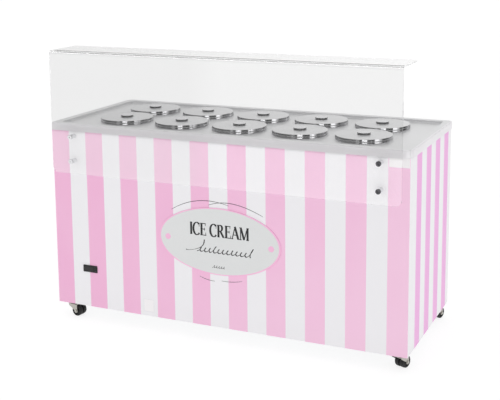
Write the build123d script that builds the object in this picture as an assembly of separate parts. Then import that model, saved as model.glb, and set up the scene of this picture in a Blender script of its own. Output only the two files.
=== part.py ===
"""Mobile ice cream dipping cabinet: two rows of five lift-out tubs under lids.

Frame: origin at the middle of the footprint on the floor, +X to the right, +Y to the rear,
+Z up. Millimetres. The customer stands at the -Y side, behind the clear guard.
"""
from build123d import *
from math import cos, radians, sin
import os

# ---------------------------------------------------------------- driving dimensions
BODY_W = 1600.0          # width over the side panels
BODY_D = 660.0           # depth over the front and rear panels
FRONT_Y = -313.0         # outer face of the front panel
PANEL_Z0 = 68.0          # lower edge of the panels
PANEL_Z1 = 853.0         # upper edge of the panels
SKIN = 1.5               # sheet of panels, worktop and tank
FLANGE = 16.0            # inward return of a panel's upper and lower edge

TOP_OVER_X = 7.0         # worktop overhang at the sides
TOP_OVER_Y = 6.0         # worktop overhang at front and rear
TOP_H = 32.0             # height of the worktop's skirt
TOP_CORNER_R = 25.0
BEAD_W = 33.0            # raised bead round the worktop
BEAD_H = 13.0

WELLS = 5                # wells in a row
WELL_PITCH_X = 275.0
WELL_PITCH_Y = 256.0
WELL_SHIFT_Y = 13.5      # middle of the two rows behind the middle of the body
COLLAR_R = 116.8         # outside of a collar and of a lid
COLLAR_H = 7.5
WELL_HOLE_R = 104.0      # hole in the worktop
NECK_R = 102.5           # inside of a collar's neck
TUB_R = 100.0            # outside of a tub
TUB_DEPTH = 240.0
TUB_RIM_R = 107.6
LID_H = 10.5             # height of a lid's skirt
KNOB_R = 27.5
KNOB_H = 8.0
LIFT_GAP = 0.2           # gap under a lifted piece at rest

GUARD_T = 6.0
GUARD_HALF_W = 778.0
GUARD_Z0 = 673.0
GUARD_Z1 = 1204.0
GUARD_SHELF = 201.0      # depth of the bent-back shelf
GUARD_BEND_R = 16.0
GUARD_CORNER_R = 27.0
STAND_OFF = 30.0         # gap between front panel and guard
STUD_X = 687.0
STUD_ZS = (725.0, 832.0)

SIGN_Z = 438.0
SIGN_RX = 277.0
SIGN_RZ = 142.0
SIGN_T = 3.0

CONTROL_X = -629.0
CONTROL_Z = 241.0
BEZEL_W = 71.0
BEZEL_H = 31.0
BEZEL_T = 3.5
BUTTON_TRAVEL = 0.8

TANK_HALF_X = 672.0
TANK_Y0, TANK_Y1 = -226.0, 272.0
TANK_Z0 = 560.0
COIL_GAP = 12.0          # room for the coil between tank and foam
FOAM_T = 44.0

CASTER_INSET = 48.0      # swivel axis inside the panel faces
WHEEL_R = 25.0
WHEEL_W = 42.0
TRAIL = 27.0
# direction from swivel axis to wheel at rest, degrees about +Z from +X
CASTERS = {"front_left": -7.0, "front_right": 70.0, "rear_left": 240.0, "rear_right": 70.0}

FAN_X, FAN_Z = -540.0, 245.0
FAN_R = 75.0

# ---------------------------------------------------------------- derived places
REAR_Y = FRONT_Y + BODY_D
MID_Y = FRONT_Y + BODY_D / 2
HALF_W = BODY_W / 2
TOP_Z = PANEL_Z1 + TOP_H
DECK_Z = TOP_Z - BEAD_H              # recessed surface of the worktop
COLLAR_Z = DECK_Z + COLLAR_H
LID_Z = COLLAR_Z + LID_H
PAN_Z = PANEL_Z0 + SKIN              # underside of the base pan
RAIL_Z = PAN_Z + SKIN
GUARD_Y1 = FRONT_Y - STAND_OFF       # inner face of the guard
GUARD_Y0 = GUARD_Y1 - GUARD_T
COVER_Z1 = 498.0                     # top edge of the rear machine cover


def block(x0, x1, y0, y1, z0, z1):
    """A box between two corners."""
    solid = Box(x1 - x0, y1 - y0, z1 - z0)
    return Pos((x0 + x1) / 2, (y0 + y1) / 2, (z0 + z1) / 2) * solid


def rod(x, y, z0, z1, radius):
    """An upright cylinder."""
    return Pos(x, y, (z0 + z1) / 2) * Cylinder(radius, z1 - z0)


def rod_y(x, z, y0, y1, radius):
    """A cylinder along Y."""
    return Pos(x, (y0 + y1) / 2, z) * Rot(90, 0, 0) * Cylinder(radius, y1 - y0)


def turned(points):
    """A solid of revolution about Z from (radius, height) points."""
    return revolve(make_face(Plane.XZ * Polyline(*points, close=True)), Axis.Z)


def rounded_block(x0, x1, y0, y1, z0, z1, corner):
    """A box with rounded upright corners."""
    outline = Rectangle(x1 - x0, y1 - y0)
    outline = fillet(outline.vertices(), corner)
    return Pos((x0 + x1) / 2, (y0 + y1) / 2, z0) * extrude(outline, z1 - z0)


def tube(points, radius, bends):
    """A round bar along straight runs with tangent bends."""
    path = FilletPolyline(*points, radius=bends)
    start = path @ 0
    section = Plane(origin=start, z_dir=path % 0) * Circle(radius)
    return sweep(section, path=path)


def well_places():
    """Name and centre of each well."""
    middle = MID_Y + WELL_SHIFT_Y
    for row, y in (("front", middle - WELL_PITCH_Y / 2), ("rear", middle + WELL_PITCH_Y / 2)):
        for i in range(WELLS):
            yield f"{row}_{i + 1}", (i - (WELLS - 1) / 2) * WELL_PITCH_X, y


def caster_places():
    """Name, swivel centre and rest direction of each caster."""
    for name, angle in CASTERS.items():
        x = (HALF_W - CASTER_INSET) * (-1 if "left" in name else 1)
        y = FRONT_Y + CASTER_INSET if "front" in name else REAR_Y - CASTER_INSET
        yield name, x, y, angle


# ---------------------------------------------------------------- body
def front_panel():
    y0, y1 = FRONT_Y, FRONT_Y + SKIN
    panel = block(-HALF_W, HALF_W, y0, y1, PANEL_Z0, PANEL_Z1)
    reach = HALF_W - SKIN - FLANGE
    for z in (PANEL_Z0, PANEL_Z1 - SKIN):
        panel += block(-reach, reach, y1, y1 + FLANGE, z, z + SKIN)
    for x in (-STUD_X, STUD_X):
        for z in STUD_ZS:
            panel -= rod_y(x, z, y0 - 1, y1 + 1, 4.5)
    half_w, half_h = BEZEL_W / 2 - 3, BEZEL_H / 2 - 2.5
    panel -= block(CONTROL_X - half_w, CONTROL_X + half_w, y0 - 1, y1 + 1,
                   CONTROL_Z - half_h, CONTROL_Z + half_h)
    return panel


def side_panel(side):
    x0, x1 = HALF_W - SKIN, HALF_W
    y0, y1 = FRONT_Y + SKIN, REAR_Y - SKIN
    panel = block(x0, x1, y0, y1, PANEL_Z0, PANEL_Z1)
    for z in (PANEL_Z0, PANEL_Z1 - SKIN):
        panel += block(x0 - FLANGE, x0, y0 + FLANGE, y1 - FLANGE, z, z + SKIN)
    return panel if side > 0 else mirror(panel, Plane.YZ)


def rear_panel():
    y0, y1 = REAR_Y - SKIN, REAR_Y
    reach = HALF_W - SKIN - FLANGE
    panel = block(-HALF_W, HALF_W, y0, y1, COVER_Z1 + 1, PANEL_Z1)
    z = PANEL_Z1 - SKIN
    return panel + block(-reach, reach, y0 - FLANGE, y0, z, z + SKIN)


INLET_X, INLET_Z = -715.0, 150.0
LOUVRE_W, LOUVRE_H, LOUVRE_PITCH = 86.0, 8.0, 20.0
LOUVRE_ROWS, LOUVRE_COLUMNS = 13, 3


def machine_cover():
    """Lower rear cover with air slots behind the condenser and opposite it."""
    y0, y1 = REAR_Y - SKIN, REAR_Y
    cover = block(-HALF_W, HALF_W, y0, y1, PANEL_Z0, COVER_Z1)
    reach = HALF_W - SKIN - FLANGE
    cover += block(-reach, reach, y0 - FLANGE, y0, PANEL_Z0, PANEL_Z0 + SKIN)
    slot = Rot(90, 0, 0) * extrude(SlotOverall(LOUVRE_W, LOUVRE_H), 5, both=True)
    slots = []
    for centre in (FAN_X, -FAN_X):
        for column in range(LOUVRE_COLUMNS):
            x = centre + (column - 1) * (LOUVRE_W + 14)
            for row in range(LOUVRE_ROWS):
                slots.append(Pos(x, REAR_Y, 125 + row * LOUVRE_PITCH) * slot)
    cover -= slots
    for x, z in cover_screws():
        cover -= rod_y(x, z, y0 - 1, y1 + 1, 2.6)
    return cover - block(INLET_X - 14, INLET_X + 14, y0 - 1, y1 + 1, INLET_Z - 10, INLET_Z + 10)


def cover_screws():
    """Centres of the screws that hold the machine cover to the corner posts and rail."""
    return [(x, z) for x in (-783.0, 783.0) for z in (110.0, 285.0, 460.0)]


def corner_posts():
    """Four angle posts between the base pan and the worktop."""
    leg, wall = 30.0, 2.0
    posts = []
    for sx in (-1, 1):
        for y, sy in ((FRONT_Y + SKIN, 1), (REAR_Y - SKIN, -1)):
            x = sx * (HALF_W - SKIN)
            low, high = RAIL_Z, PANEL_Z1 - SKIN
            along_x = block(min(x, x - sx * leg), max(x, x - sx * leg),
                            min(y, y + sy * wall), max(y, y + sy * wall), low, high)
            along_y = block(min(x, x - sx * wall), max(x, x - sx * wall),
                            min(y, y + sy * leg), max(y, y + sy * leg), low, high)
            post = along_x + along_y
            if sy < 0:
                for sx_hole, z in cover_screws():
                    post -= rod_y(sx_hole, z, y - 5, y + 1, 2.6)
            posts.append(post)
    return posts


def base_pan():
    lip, wall = 14.0, SKIN
    x1, y0, y1 = HALF_W - 2.0, FRONT_Y + 2.0, REAR_Y - 2.0
    pan = block(-x1, x1, y0, y1, PAN_Z, PAN_Z + wall)
    inner = block(-x1 + wall, x1 - wall, y0 + wall, y1 - wall, PAN_Z, PAN_Z + lip + 1)
    rim = block(-x1, x1, y0, y1, PAN_Z, PAN_Z + lip) - inner
    posts = [block(sx * x1 - 32, sx * x1 + 32, y - 32, y + 32, PAN_Z + wall, PAN_Z + lip + 1)
             for sx in (-1, 1) for y in (y0, y1)]
    pan += rim - posts
    for x, y in caster_bolts():
        pan -= rod(x, y, PAN_Z - 1, PAN_Z + 5, 3.3)
    return pan - rod(DRAIN_X, MID_Y, PAN_Z - 1, PAN_Z + 5, DRAIN_R + 1)


RAIL_W, RAIL_H, RAIL_T = 60.0, 25.0, 2.0


def base_rails():
    """Two upturned channels on the pan that spread the casters' load."""
    rails = []
    for y in (FRONT_Y + CASTER_INSET, REAR_Y - CASTER_INSET):
        reach = HALF_W - 34
        low = RAIL_Z
        rail = block(-reach, reach, y - RAIL_W / 2, y + RAIL_W / 2, low, low + RAIL_H)
        half = RAIL_W / 2 - RAIL_T
        rail -= block(-reach - 1, reach + 1, y - half, y + half, low + RAIL_T, low + RAIL_H + 1)
        for x, bolt_y in caster_bolts():
            rail -= rod(x, bolt_y, low - 1, low + 5, 3.3)
        rails.append(rail)
    return rails


# ---------------------------------------------------------------- worktop and wells
def worktop():
    x1, y0, y1 = HALF_W + TOP_OVER_X, FRONT_Y - TOP_OVER_Y, REAR_Y + TOP_OVER_Y
    top = rounded_block(-x1, x1, y0, y1, PANEL_Z1, TOP_Z, TOP_CORNER_R)
    top = fillet(top.edges().group_by(Axis.Z)[-1], 5)
    inset = BEAD_W
    recess = rounded_block(-x1 + inset, x1 - inset, y0 + inset, y1 - inset, DECK_Z, TOP_Z + 1, 18)
    recess = fillet(recess.edges().group_by(Axis.Z)[0], 3)
    top -= recess
    rim_edges = [e for e in top.edges().group_by(Axis.Z)[-1]
                 if abs(e.center().X) < x1 - inset + 1 and y0 + inset - 1 < e.center().Y < y1 - inset + 1]
    top = fillet(rim_edges, 2.5)
    wall = SKIN
    deep = rounded_block(-x1 + wall, x1 - wall, y0 + wall, y1 - wall, PANEL_Z1 - 1, DECK_Z - wall,
                         TOP_CORNER_R - wall)
    bead = rounded_block(-x1 + 5, x1 - 5, y0 + 5, y1 - 5, DECK_Z - wall - 1, TOP_Z - 2.5, 20)
    bead -= block(-x1 + inset - 4, x1 - inset + 4, y0 + inset - 4, y1 - inset + 4,
                  DECK_Z - wall - 2, TOP_Z)
    top -= deep + bead
    for _, x, y in well_places():
        top -= rod(x, y, DECK_Z - 10, TOP_Z, WELL_HOLE_R)
    return top


def well_collar(x, y):
    """Polished ring on the worktop with a neck into the hole and a seat for the tub's rim."""
    seat_z = DECK_Z + 4.8
    ring = turned([(NECK_R, DECK_Z - 18), (NECK_R + 1.2, DECK_Z - 18), (NECK_R + 1.2, DECK_Z),
                   (COLLAR_R, DECK_Z), (COLLAR_R, COLLAR_Z - 1.2), (COLLAR_R - 1.2, COLLAR_Z),
                   (TUB_RIM_R + 1.2, COLLAR_Z), (TUB_RIM_R + 0.6, COLLAR_Z - 0.6),
                   (TUB_RIM_R + 0.6, seat_z), (NECK_R, seat_z)])
    return Pos(x, y, 0) * ring


def tub(x, y):
    """Round tub with a flat rim; the rim rests in the collar's seat."""
    rim_z = DECK_Z + 4.8 + LIFT_GAP
    low, wall, bottom_r = rim_z + 1.2 - TUB_DEPTH, 1.0, 14.0
    outer = rod(0, 0, low, rim_z, TUB_R)
    outer = fillet(outer.edges().group_by(Axis.Z)[0], bottom_r)
    inner = rod(0, 0, low + wall, rim_z + 5, TUB_R - wall)
    inner = fillet(inner.edges().group_by(Axis.Z)[0], bottom_r - wall)
    rim = rod(0, 0, rim_z, rim_z + 1.2, TUB_RIM_R)
    return Pos(x, y, 0) * (outer + rim - inner)


def lid(x, y):
    """Double-walled spun cap with a shallow dome under the knob and a plug that finds the tub."""
    low, plug_z = COLLAR_Z + LIFT_GAP, DECK_Z + 5
    top_t, skin, side_t = 1.2, 0.8, 2.0
    dome_r, plug_r = 40.0, 92.0
    cap = turned([(0, plug_z), (plug_r, plug_z), (plug_r, low), (COLLAR_R, low),
                  (COLLAR_R, LID_Z - 2.5), (COLLAR_R - 0.8, LID_Z - 0.8), (COLLAR_R - 2.5, LID_Z),
                  (dome_r, LID_Z), (dome_r - 3, LID_Z + 1.0), (0, LID_Z + 1.0)])
    cap -= turned([(0, plug_z + skin), (plug_r - skin, plug_z + skin),
                   (plug_r - skin, low + skin), (COLLAR_R - side_t, low + skin),
                   (COLLAR_R - side_t, LID_Z - top_t - 1), (COLLAR_R - side_t - 1, LID_Z - top_t),
                   (0, LID_Z - top_t)])
    foot = LID_Z + 1.0
    knob = turned([(0, foot), (22, foot), (22, foot + 1.2), (KNOB_R - 1.5, foot + 2),
                   (KNOB_R, foot + 3.2), (KNOB_R, foot + KNOB_H - 2),
                   (KNOB_R - 0.6, foot + KNOB_H - 0.6), (KNOB_R - 2, foot + KNOB_H),
                   (0, foot + KNOB_H)])
    return [Pos(x, y, 0) * cap, Pos(x, y, 0) * knob]


# ---------------------------------------------------------------- cold tank
DRAIN_X, DRAIN_R = 600.0, 12.0
COIL_R = 4.5
HEADER_Y = (60.0, 110.0)


def inner_tank():
    wall = SKIN
    outer = rounded_block(-TANK_HALF_X, TANK_HALF_X, TANK_Y0, TANK_Y1, TANK_Z0, DECK_Z - wall, 20)
    inner = rounded_block(-TANK_HALF_X + wall, TANK_HALF_X - wall, TANK_Y0 + wall, TANK_Y1 - wall,
                          TANK_Z0 + wall, DECK_Z + 5, 20 - wall)
    lip = 40.0
    flange = rounded_block(-TANK_HALF_X - lip, TANK_HALF_X + lip, TANK_Y0 - lip, TANK_Y1 + lip,
                           DECK_Z - 2 * wall, DECK_Z - wall, 20)
    return outer + flange - inner - rod(DRAIN_X, MID_Y, TANK_Z0 - 1, TANK_Z0 + 5, DRAIN_R)


def insulation_foam():
    """Foam tub round the tank, with a gap for the coil and holes for pipes."""
    gap, reach = COIL_GAP, COIL_GAP + FOAM_T
    top = DECK_Z - 2 * SKIN
    outer = rounded_block(-TANK_HALF_X - reach, TANK_HALF_X + reach, TANK_Y0 - reach,
                          TANK_Y1 + reach, TANK_Z0 - FOAM_T, top, 30)
    inner = rounded_block(-TANK_HALF_X - gap, TANK_HALF_X + gap, TANK_Y0 - gap, TANK_Y1 + gap,
                          TANK_Z0, top + 1, 24)
    foam = outer - inner - rod(DRAIN_X, MID_Y, TANK_Z0 - FOAM_T - 1, TANK_Z0 + 1, DRAIN_R + 0.5)
    for y in HEADER_Y:
        x = -TANK_HALF_X - gap / 2
        foam -= rod(x, y, TANK_Z0 - FOAM_T - 1, TANK_Z0 + 1, COIL_R + 0.5)
    return foam


def evaporator_coil():
    """Five loops of tube round the tank, joined by two upright headers."""
    gap = COIL_GAP / 2
    x1, y0, y1 = TANK_HALF_X + gap, TANK_Y0 - gap, TANK_Y1 + gap
    coil = []
    for i in range(5):
        z = TANK_Z0 + 40 + i * 50
        outline = Pos(0, (y0 + y1) / 2, z) * RectangleRounded(2 * x1, y1 - y0, 24)
        wire = outline.wires()[0]
        section = Plane(origin=wire @ 0, z_dir=wire % 0) * Circle(COIL_R)
        coil.append(sweep(section, path=wire))
    for y in HEADER_Y:
        coil.append(rod(-x1, y, TANK_Z0 - FOAM_T, TANK_Z0 + 240, COIL_R))
    joined = coil[0]
    for piece in coil[1:]:
        joined += piece
    return joined


def drain_pipe():
    """Drain from the tank floor to below the base pan."""
    low, high = PAN_Z - 4, TANK_Z0 + SKIN
    return rod(DRAIN_X, MID_Y, low, high, DRAIN_R) - rod(DRAIN_X, MID_Y, low - 1, high + 1, DRAIN_R - 1.5)


# ---------------------------------------------------------------- machine
COMP_X, COMP_Y = -540.0, -95.0
COMP_Z = 110.0
COND_Y0, COND_Y1 = 262.0, 312.0
COND_HALF_X, COND_Z0, COND_Z1 = 150.0, 112.0, 382.0


def compressor():
    """Hermetic pot on a foot plate, with four rubber feet on the pan."""
    pot = rod(0, 0, COMP_Z, COMP_Z + 185, 82)
    pot = fillet(pot.edges().group_by(Axis.Z)[-1], 45)
    hollow = rod(0, 0, COMP_Z + 5, COMP_Z + 180, 77)
    hollow = fillet(hollow.edges().group_by(Axis.Z)[-1], 40)
    plate = rounded_block(-110, 110, -80, 80, COMP_Z - 4, COMP_Z, 15)
    terminal = block(-25, 25, -98, -76, COMP_Z + 60, COMP_Z + 120)
    body = pot + plate + terminal - hollow
    feet = []
    for x in (-92, 92):
        for y in (-62, 62):
            foot = turned([(0, RAIL_Z), (14, RAIL_Z), (14, RAIL_Z + 10), (9, RAIL_Z + 18),
                           (14, RAIL_Z + 26), (14, COMP_Z - 4), (0, COMP_Z - 4)])
            feet.append(Pos(x, y, 0) * foot)
    return [Pos(COMP_X, COMP_Y, 0) * piece for piece in [body] + feet]


def condenser():
    """Tube-and-fin heat exchanger, fins upright, tubes across."""
    core = None
    for i in range(25):
        x = FAN_X - COND_HALF_X + i * 12.5
        fin = block(x - 0.4, x + 0.4, COND_Y0, COND_Y1, COND_Z0, COND_Z1)
        core = fin if core is None else core + fin
    for x in (FAN_X - COND_HALF_X, FAN_X + COND_HALF_X):
        core += block(x - 1, x + 1, COND_Y0, COND_Y1, RAIL_Z + RAIL_H, COND_Z1 + 2)
    for row in range(6):
        z = COND_Z0 + 22 + row * 45
        for y in (COND_Y0 + 14, COND_Y1 - 14):
            bar = Pos(FAN_X, y, z) * Rot(0, 90, 0) * Cylinder(5, 2 * COND_HALF_X + 24)
            core += bar
    return core


def fan_shroud():
    """Plate with a ring round the blade and three arms that hold the motor."""
    y1 = COND_Y0
    hole_r = FAN_R + 4
    plate = block(FAN_X - COND_HALF_X, FAN_X + COND_HALF_X, y1 - 1.5, y1, COND_Z0, COND_Z1)
    ring = rod_y(FAN_X, FAN_Z, y1 - 26, y1, hole_r + 1.5)
    shroud = plate + ring - rod_y(FAN_X, FAN_Z, y1 - 27, y1 + 1, hole_r)
    arm_y0, arm_y1 = y1 - 48, y1 - 44
    hub = rod_y(FAN_X, FAN_Z, arm_y0, arm_y1, 30) - rod_y(FAN_X, FAN_Z, arm_y0 - 1, arm_y1 + 1, 8)
    shroud += hub
    for angle in (90, 210, 330):
        c, s = cos(radians(angle)), sin(radians(angle))
        arm = Pos(FAN_X + 60 * c, (arm_y0 + arm_y1) / 2, FAN_Z + 60 * s) * Rot(0, -angle, 0) * Box(72, 4, 10)
        post_r = hole_r + 12
        post = rod_y(FAN_X + post_r * c, FAN_Z + post_r * s, arm_y0, y1 - 1.5, 5)
        shroud += arm + post
    return shroud


def fan_motor():
    """Motor behind the shroud's hub, bored for the blade's shaft."""
    y1 = COND_Y0 - 48
    motor = rod_y(FAN_X, FAN_Z, y1 - 46, y1, 38)
    motor = fillet(motor.edges().filter_by(GeomType.CIRCLE), 5)
    return motor - rod_y(FAN_X, FAN_Z, y1 - 30, y1 + 1, 3.05)


def fan_blade():
    """Five pitched blades on a hub, with the shaft that turns in the motor."""
    mid = COND_Y0 - 16
    fan = rod_y(FAN_X, FAN_Z, mid - 10, mid + 10, 20)
    blade = Pos(0, 0, 44) * Rot(0, 0, 28) * Box(50, 1.8, 56)
    cutter = rod_y(0, 0, -40, 40, FAN_R)
    for i in range(5):
        one = (Rot(0, 72 * i, 0) * blade) & cutter
        fan += Pos(FAN_X, mid, FAN_Z) * one
    return fan + rod_y(FAN_X, FAN_Z, COND_Y0 - 76, mid, 3)


def refrigerant_pipes():
    """Discharge, suction and liquid lines; the liquid line carries the filter drier."""
    x_header = -TANK_HALF_X - COIL_GAP / 2
    header_z = TANK_Z0 - FOAM_T
    r = 4.0
    top_z = COMP_Z + 185
    suction = tube([(x_header, HEADER_Y[0], header_z), (x_header, HEADER_Y[0], 430),
                    (COMP_X - 30, HEADER_Y[0], 400), (COMP_X - 30, COMP_Y, 380),
                    (COMP_X - 30, COMP_Y, top_z)], r, 22)
    cond_x = FAN_X + COND_HALF_X + 12
    row_z = COND_Z0 + 22 + 5 * 45
    discharge = tube([(COMP_X + 30, COMP_Y, top_z), (COMP_X + 30, COMP_Y, top_z + 50),
                      (cond_x + 40, COMP_Y + 40, top_z + 50), (cond_x + 40, COND_Y0 + 14, row_z),
                      (cond_x, COND_Y0 + 14, row_z)], r, 22)
    low_z = COND_Z0 + 22
    liquid = tube([(cond_x, COND_Y0 + 14, low_z), (cond_x + 40, COND_Y0 + 14, low_z),
                   (cond_x + 40, 140, low_z), (cond_x + 40, 140, 430),
                   (x_header, 140, 430), (x_header, HEADER_Y[1], 460),
                   (x_header, HEADER_Y[1], header_z)], r, 14)
    drier = Pos(cond_x + 40, 140, 280) * Cylinder(14, 110)
    drier = fillet(drier.edges().filter_by(GeomType.CIRCLE), 9)
    return [suction, discharge, liquid + drier]


def power_inlet():
    """Recessed appliance inlet with three flat pins, flange on the cover's outside."""
    y1 = REAR_Y + 3
    inlet = block(INLET_X - 25, INLET_X + 25, REAR_Y, y1, INLET_Z - 14, INLET_Z + 14)
    inlet = fillet(inlet.edges().filter_by(Axis.Y), 4)
    inlet += block(INLET_X - 13.5, INLET_X + 13.5, REAR_Y - 27, REAR_Y, INLET_Z - 9.5, INLET_Z + 9.5)
    inlet -= block(INLET_X - 12, INLET_X + 12, REAR_Y - 20, y1 + 1, INLET_Z - 8, INLET_Z + 8)
    for dx, dz in ((-7, -2), (0, 2), (7, -2)):
        inlet += block(INLET_X + dx - 1, INLET_X + dx + 1, REAR_Y - 20.5, REAR_Y - 4,
                       INLET_Z + dz - 2.5, INLET_Z + dz + 2.5)
    return inlet


# ---------------------------------------------------------------- thermostat
DISPLAY_DX, DISPLAY_W, DISPLAY_H = -8.0, 42.0, 19.0
BUTTON_DX, BUTTON_R = 26.0, 2.8
BUTTONS = {"thermostat_button_up": 8.5, "thermostat_button_set": 0.0,
           "thermostat_button_down": -8.5}


def thermostat_housing():
    face = FRONT_Y - BEZEL_T
    bezel = block(CONTROL_X - BEZEL_W / 2, CONTROL_X + BEZEL_W / 2, face, FRONT_Y,
                  CONTROL_Z - BEZEL_H / 2, CONTROL_Z + BEZEL_H / 2)
    bezel = fillet(bezel.edges().filter_by(Axis.Y), 3)
    bezel = chamfer(bezel.edges().group_by(Axis.Y)[0], 0.8)
    half_w, half_h = BEZEL_W / 2 - 3.3, BEZEL_H / 2 - 2.8
    case = bezel + block(CONTROL_X - half_w, CONTROL_X + half_w, FRONT_Y, FRONT_Y + 55,
                         CONTROL_Z - half_h, CONTROL_Z + half_h)
    x = CONTROL_X + DISPLAY_DX
    case -= block(x - DISPLAY_W / 2, x + DISPLAY_W / 2, face - 1, face + 1.6,
                  CONTROL_Z - DISPLAY_H / 2, CONTROL_Z + DISPLAY_H / 2)
    for dz in BUTTONS.values():
        case -= rod_y(CONTROL_X + BUTTON_DX, CONTROL_Z + dz, face - 1, face + 4.5, BUTTON_R + 0.3)
    return case


def thermostat_display():
    face = FRONT_Y - BEZEL_T
    x = CONTROL_X + DISPLAY_DX
    return block(x - DISPLAY_W / 2, x + DISPLAY_W / 2, face + 0.4, face + 1.6,
                 CONTROL_Z - DISPLAY_H / 2, CONTROL_Z + DISPLAY_H / 2)


def thermostat_button(dz):
    face = FRONT_Y - BEZEL_T
    button = rod_y(CONTROL_X + BUTTON_DX, CONTROL_Z + dz, face - 1.0, face + 3.5, BUTTON_R)
    return fillet(button.edges().group_by(Axis.Y)[0], 0.6)


# ---------------------------------------------------------------- guard and sign
def sneeze_guard():
    """Clear sheet: an upright pane bent back into a level shelf at the top."""
    r_out, r_in = GUARD_BEND_R, GUARD_BEND_R - GUARD_T
    y_back = GUARD_Y0 + GUARD_SHELF
    with BuildSketch(Plane.YZ) as profile:
        with BuildLine():
            Line((GUARD_Y0, GUARD_Z0), (GUARD_Y0, GUARD_Z1 - r_out))
            RadiusArc((GUARD_Y0, GUARD_Z1 - r_out), (GUARD_Y0 + r_out, GUARD_Z1), r_out)
            Line((GUARD_Y0 + r_out, GUARD_Z1), (y_back, GUARD_Z1))
            Line((y_back, GUARD_Z1), (y_back, GUARD_Z1 - GUARD_T))
            Line((y_back, GUARD_Z1 - GUARD_T), (GUARD_Y0 + r_out, GUARD_Z1 - GUARD_T))
            RadiusArc((GUARD_Y0 + r_out, GUARD_Z1 - GUARD_T), (GUARD_Y1, GUARD_Z1 - r_out), -r_in)
            Line((GUARD_Y1, GUARD_Z1 - r_out), (GUARD_Y1, GUARD_Z0))
            Line((GUARD_Y1, GUARD_Z0), (GUARD_Y0, GUARD_Z0))
        make_face()
    guard = extrude(profile.sketch, GUARD_HALF_W, both=True)
    low = guard.edges().filter_by(Axis.Y).group_by(Axis.Z)[0]
    guard = fillet(low, GUARD_CORNER_R)
    for x in (-STUD_X, STUD_X):
        for z in STUD_ZS:
            guard -= rod_y(x, z, GUARD_Y0 - 1, GUARD_Y1 + 1, 5)
    return guard


def standoff_spacers():
    """Barrels between panel and guard, each with its stud through both."""
    return [rod_y(x, z, GUARD_Y1, FRONT_Y, 10) + rod_y(x, z, GUARD_Y0, FRONT_Y + 12, 4)
            for x in (-STUD_X, STUD_X) for z in STUD_ZS]


def standoff_caps():
    """Round screw-on caps with a hexagon socket."""
    caps = []
    for x in (-STUD_X, STUD_X):
        for z in STUD_ZS:
            cap = rod_y(x, z, GUARD_Y0 - 4, GUARD_Y0, 10.5)
            cap = fillet(cap.edges().group_by(Axis.Y)[0], 1.5)
            socket = Rot(90, 0, 0) * extrude(RegularPolygon(3, 6), 3, both=True)
            caps.append(cap - Pos(x, GUARD_Y0 - 4, z) * socket)
    return caps


def oval_sign():
    plate = Rot(90, 0, 0) * extrude(Ellipse(SIGN_RX, SIGN_RZ), SIGN_T)
    plate = Pos(0, FRONT_Y, SIGN_Z) * plate
    return chamfer(plate.edges().group_by(Axis.Y)[0], 0.6)


# ---------------------------------------------------------------- casters
PLATE_HALF, PLATE_T, BOLT_HALF = 30.0, 2.5, 22.0
CROWN_Z0, CROWN_T = 52.0, 2.5
ARM_GAP, ARM_T = 22.5, 2.5
RACE_R = 20.0
KING_R, AXLE_R = 4.0, 4.0


def caster_bolts():
    """Centres of the bolts through the caster plates."""
    return [(x + sx * BOLT_HALF, y + sy * BOLT_HALF)
            for _, x, y, _ in caster_places() for sx in (-1, 1) for sy in (-1, 1)]


def caster_plate(x, y):
    """Fixed top plate with the upper race and the kingpin."""
    high = PAN_Z
    plate = rounded_block(-PLATE_HALF, PLATE_HALF, -PLATE_HALF, PLATE_HALF, high - PLATE_T, high, 6)
    race = turned([(0, 60), (RACE_R - 3, 60), (RACE_R, 63), (RACE_R, high - PLATE_T),
                   (0, high - PLATE_T)])
    king = rod(0, 0, CROWN_Z0 - 0.5, 61, KING_R) + rod(0, 0, CROWN_Z0 - 3.3, CROWN_Z0 - 0.3, 7)
    plate += race + king
    for sx in (-1, 1):
        for sy in (-1, 1):
            plate -= rod(sx * BOLT_HALF, sy * BOLT_HALF, high - 4, high + 1, 3.3)
    return Pos(x, y, 0) * plate


def caster_fork(x, y, angle):
    """Swivelling pressed fork with the lower race, and the axle bolt as its own solid."""
    crown_z1 = CROWN_Z0 + CROWN_T
    crown = block(-17, TRAIL + 5, -ARM_GAP - ARM_T, ARM_GAP + ARM_T, CROWN_Z0, crown_z1)
    crown = fillet(crown.edges().filter_by(Axis.Z), 5)
    cup = turned([(0, crown_z1), (RACE_R - 1, crown_z1), (RACE_R, crown_z1 + 2), (RACE_R - 2, 59.7),
                  (0, 59.7)])
    fork = crown + cup
    arm = Polyline((-12, crown_z1), (TRAIL + 5, crown_z1), (TRAIL + 8, WHEEL_R),
                   (TRAIL, WHEEL_R - 8), (TRAIL - 9, WHEEL_R + 2), (-12, 46), close=True)
    face = make_face(Plane.XZ * arm) + Plane.XZ * (Pos(TRAIL, WHEEL_R) * Circle(9))
    for y0 in (-ARM_GAP - ARM_T, ARM_GAP):
        fork += Pos(0, y0, 0) * extrude(face, ARM_T, dir=(0, 1, 0))
    fork -= rod(0, 0, CROWN_Z0 - 1, 61, KING_R + 0.06)
    reach = ARM_GAP + ARM_T
    fork -= rod_y(TRAIL, WHEEL_R, -reach - 1, reach + 1, AXLE_R)
    axle = rod_y(TRAIL, WHEEL_R, -reach - 3, reach + 3, AXLE_R)
    head = Rot(90, 0, 0) * extrude(RegularPolygon(6.5, 6), 3)
    axle += Pos(TRAIL, -reach, WHEEL_R) * head + Pos(TRAIL, reach + 3, WHEEL_R) * head
    place = Pos(x, y, 0) * Rot(0, 0, angle)
    return [place * fork, place * axle]


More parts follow.
